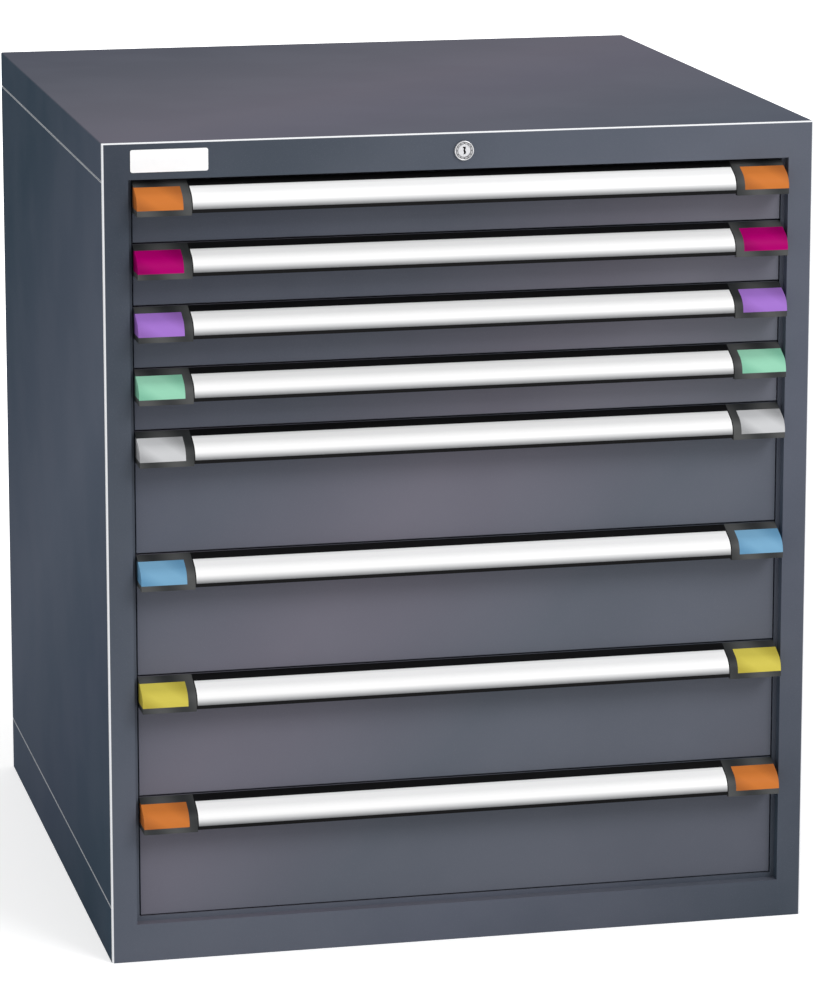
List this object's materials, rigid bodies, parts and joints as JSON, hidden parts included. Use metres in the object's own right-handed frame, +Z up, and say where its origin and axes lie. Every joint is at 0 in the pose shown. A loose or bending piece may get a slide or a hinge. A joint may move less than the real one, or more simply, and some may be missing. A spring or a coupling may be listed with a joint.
{
  "type": "drawer cabinet",
  "caption": "Free-standing workshop cabinet of sheet steel with full-width drawers on full-extension runners, hooded grips with label strips and coloured ends, and a central cylinder lock.",
  "frame": {"origin": "centre of the whole part's footprint on the floor, with the grips counted in", "axes": "+Z up, -Y towards the drawer fronts, +X to the right seen from the front"},
  "size_m": [0.695, 0.7136, 0.8],
  "materials": {
    "slate_paint": "slate grey powder coat, satin",
    "front_paint": "slate grey powder coat, satin",
    "zinc_steel": "zinc plated sheet, satin",
    "black_profile": "black anodised, satin",
    "cap_grey": "dark grey moulded plastic",
    "label_white": "white strip behind a clear cover",
    "plate_white": "bare white plate",
    "lock_nickel": "satin nickel plate",
    "insert_orange": "coloured end insert",
    "insert_magenta": "coloured end insert",
    "insert_violet": "coloured end insert",
    "insert_mint": "coloured end insert",
    "insert_light_grey": "coloured end insert",
    "insert_blue": "coloured end insert",
    "insert_yellow": "coloured end insert"
  },
  "bodies": {
    "housing": {"front_frame": "slate_paint", "top_cover": "slate_paint", "right_side": "slate_paint", "left_side": "slate_paint", "back_panel": "slate_paint", "base_plinth": "slate_paint", "uprights": "zinc_steel", "cabinet_rails": "zinc_steel", "lock_body": "lock_nickel", "name_plate": "plate_white"},
    "drawer_1": {"drawer_1_front": "front_paint", "drawer_1_tray": "zinc_steel", "drawer_1_handle": "black_profile", "drawer_1_inserts": "insert_orange", "drawer_1_label_strip": "label_white"},
    "carriage_1": {"drawer_1_carriage": "zinc_steel"},
    "drawer_2": {"drawer_2_front": "front_paint", "drawer_2_tray": "zinc_steel", "drawer_2_handle": "black_profile", "drawer_2_inserts": "insert_magenta", "drawer_2_label_strip": "label_white"},
    "carriage_2": {"drawer_2_carriage": "zinc_steel"},
    "drawer_3": {"drawer_3_front": "front_paint", "drawer_3_tray": "zinc_steel", "drawer_3_handle": "black_profile", "drawer_3_inserts": "insert_violet", "drawer_3_label_strip": "label_white"},
    "carriage_3": {"drawer_3_carriage": "zinc_steel"},
    "drawer_4": {"drawer_4_front": "front_paint", "drawer_4_tray": "zinc_steel", "drawer_4_handle": "black_profile", "drawer_4_inserts": "insert_mint", "drawer_4_label_strip": "label_white"},
    "carriage_4": {"drawer_4_carriage": "zinc_steel"},
    "drawer_5": {"drawer_5_front": "front_paint", "drawer_5_tray": "zinc_steel", "drawer_5_handle": "black_profile", "drawer_5_inserts": "insert_light_grey", "drawer_5_label_strip": "label_white"},
    "carriage_5": {"drawer_5_carriage": "zinc_steel"},
    "drawer_6": {"drawer_6_front": "front_paint", "drawer_6_tray": "zinc_steel", "drawer_6_handle": "black_profile", "drawer_6_inserts": "insert_blue", "drawer_6_label_strip": "label_white"},
    "carriage_6": {"drawer_6_carriage": "zinc_steel"},
    "drawer_7": {"drawer_7_front": "front_paint", "drawer_7_tray": "zinc_steel", "drawer_7_handle": "black_profile", "drawer_7_inserts": "insert_yellow", "drawer_7_label_strip": "label_white"},
    "carriage_7": {"drawer_7_carriage": "zinc_steel"},
    "drawer_8": {"drawer_8_front": "front_paint", "drawer_8_tray": "zinc_steel", "drawer_8_handle": "black_profile", "drawer_8_inserts": "insert_orange", "drawer_8_label_strip": "label_white"},
    "carriage_8": {"drawer_8_carriage": "zinc_steel"},
    "lock_bar": {"lock_bar": "zinc_steel"},
    "lock_plug": {"lock_plug": "lock_nickel"}
  },
  "joints": [
    {"name": "drawer_1_slide", "type": "slide", "parent": "housing", "child": "drawer_1", "axis": [0, -1, 0], "range_m": [0, 0.6]},
    {"name": "carriage_1_slide", "type": "slide", "parent": "housing", "child": "carriage_1", "axis": [0, -1, 0], "range_m": [0, 0.3]},
    {"name": "drawer_2_slide", "type": "slide", "parent": "housing", "child": "drawer_2", "axis": [0, -1, 0], "range_m": [0, 0.6]},
    {"name": "carriage_2_slide", "type": "slide", "parent": "housing", "child": "carriage_2", "axis": [0, -1, 0], "range_m": [0, 0.3]},
    {"name": "drawer_3_slide", "type": "slide", "parent": "housing", "child": "drawer_3", "axis": [0, -1, 0], "range_m": [0, 0.6]},
    {"name": "carriage_3_slide", "type": "slide", "parent": "housing", "child": "carriage_3", "axis": [0, -1, 0], "range_m": [0, 0.3]},
    {"name": "drawer_4_slide", "type": "slide", "parent": "housing", "child": "drawer_4", "axis": [0, -1, 0], "range_m": [0, 0.6]},
    {"name": "carriage_4_slide", "type": "slide", "parent": "housing", "child": "carriage_4", "axis": [0, -1, 0], "range_m": [0, 0.3]},
    {"name": "drawer_5_slide", "type": "slide", "parent": "housing", "child": "drawer_5", "axis": [0, -1, 0], "range_m": [0, 0.6]},
    {"name": "carriage_5_slide", "type": "slide", "parent": "housing", "child": "carriage_5", "axis": [0, -1, 0], "range_m": [0, 0.3]},
    {"name": "drawer_6_slide", "type": "slide", "parent": "housing", "child": "drawer_6", "axis": [0, -1, 0], "range_m": [0, 0.6]},
    {"name": "carriage_6_slide", "type": "slide", "parent": "housing", "child": "carriage_6", "axis": [0, -1, 0], "range_m": [0, 0.3]},
    {"name": "drawer_7_slide", "type": "slide", "parent": "housing", "child": "drawer_7", "axis": [0, -1, 0], "range_m": [0, 0.6]},
    {"name": "carriage_7_slide", "type": "slide", "parent": "housing", "child": "carriage_7", "axis": [0, -1, 0], "range_m": [0, 0.3]},
    {"name": "drawer_8_slide", "type": "slide", "parent": "housing", "child": "drawer_8", "axis": [0, -1, 0], "range_m": [0, 0.6]},
    {"name": "carriage_8_slide", "type": "slide", "parent": "housing", "child": "carriage_8", "axis": [0, -1, 0], "range_m": [0, 0.3]},
    {"name": "lock_bar_slide", "type": "slide", "parent": "housing", "child": "lock_bar", "axis": [0, 0, 1], "range_m": [0, 0.01]},
    {"name": "lock_plug_turn", "type": "hinge", "parent": "housing", "child": "lock_plug", "pos_m": [0, -0.33825, 0.7825], "axis": [0, -1, 0], "range_deg": [0, 90]}
  ],
  "couplings": [
    {"joint": "carriage_1_slide", "follows": "drawer_1_slide", "ratio": 0.5},
    {"joint": "carriage_2_slide", "follows": "drawer_2_slide", "ratio": 0.5},
    {"joint": "carriage_3_slide", "follows": "drawer_3_slide", "ratio": 0.5},
    {"joint": "carriage_4_slide", "follows": "drawer_4_slide", "ratio": 0.5},
    {"joint": "carriage_5_slide", "follows": "drawer_5_slide", "ratio": 0.5},
    {"joint": "carriage_6_slide", "follows": "drawer_6_slide", "ratio": 0.5},
    {"joint": "carriage_7_slide", "follows": "drawer_7_slide", "ratio": 0.5},
    {"joint": "carriage_8_slide", "follows": "drawer_8_slide", "ratio": 0.5},
    {"joint": "lock_plug_turn", "follows": "lock_bar_slide", "rad_per_m": 157}
  ]
}
